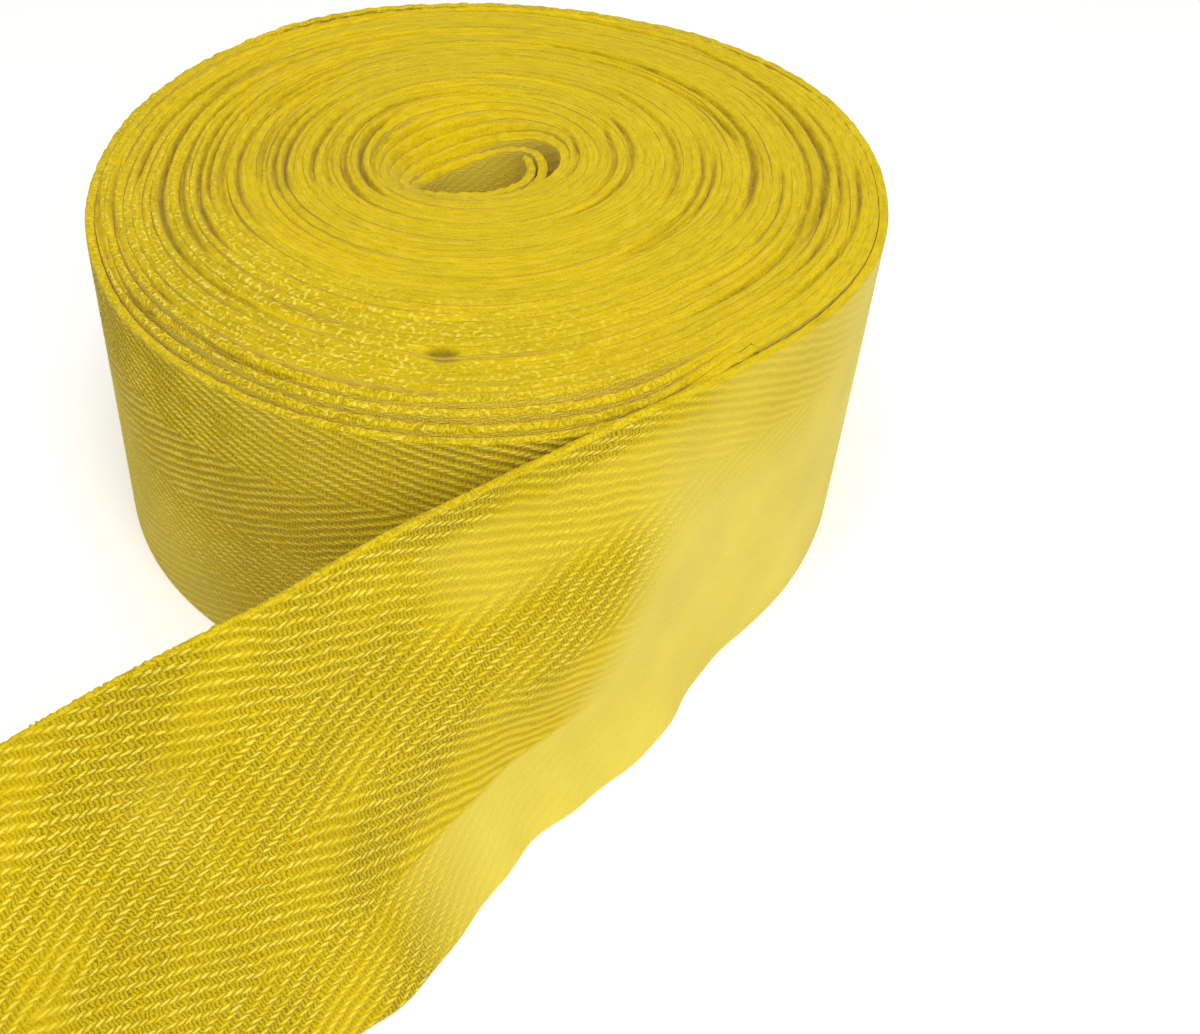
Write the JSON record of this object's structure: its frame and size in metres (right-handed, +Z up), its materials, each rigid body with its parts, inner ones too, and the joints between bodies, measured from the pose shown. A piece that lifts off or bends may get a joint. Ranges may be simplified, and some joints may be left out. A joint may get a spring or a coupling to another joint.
{
  "type": "roll of herringbone twill tape",
  "caption": "Roll of wide woven cotton tape standing on one face of its winding, open at the centre, with a loose end that leans back as it leads away.",
  "frame": {"origin": "middle of the bounding box's footprint, on the surface that the roll and its loose end stand on", "axes": "+Z up along the roll's winding axis; the loose end leaves the roll on its +X, -Y side and leads towards -X and -Y, so the whole is longest along Y"},
  "size_m": [0.1336, 0.1944, 0.0512],
  "materials": {
    "woven_cotton": "matte bright yellow cotton, woven as a herringbone twill of four stripes"
  },
  "bodies": {
    "root": {"roll": "woven_cotton", "loose_end": "woven_cotton"}
  },
  "joints": []
}
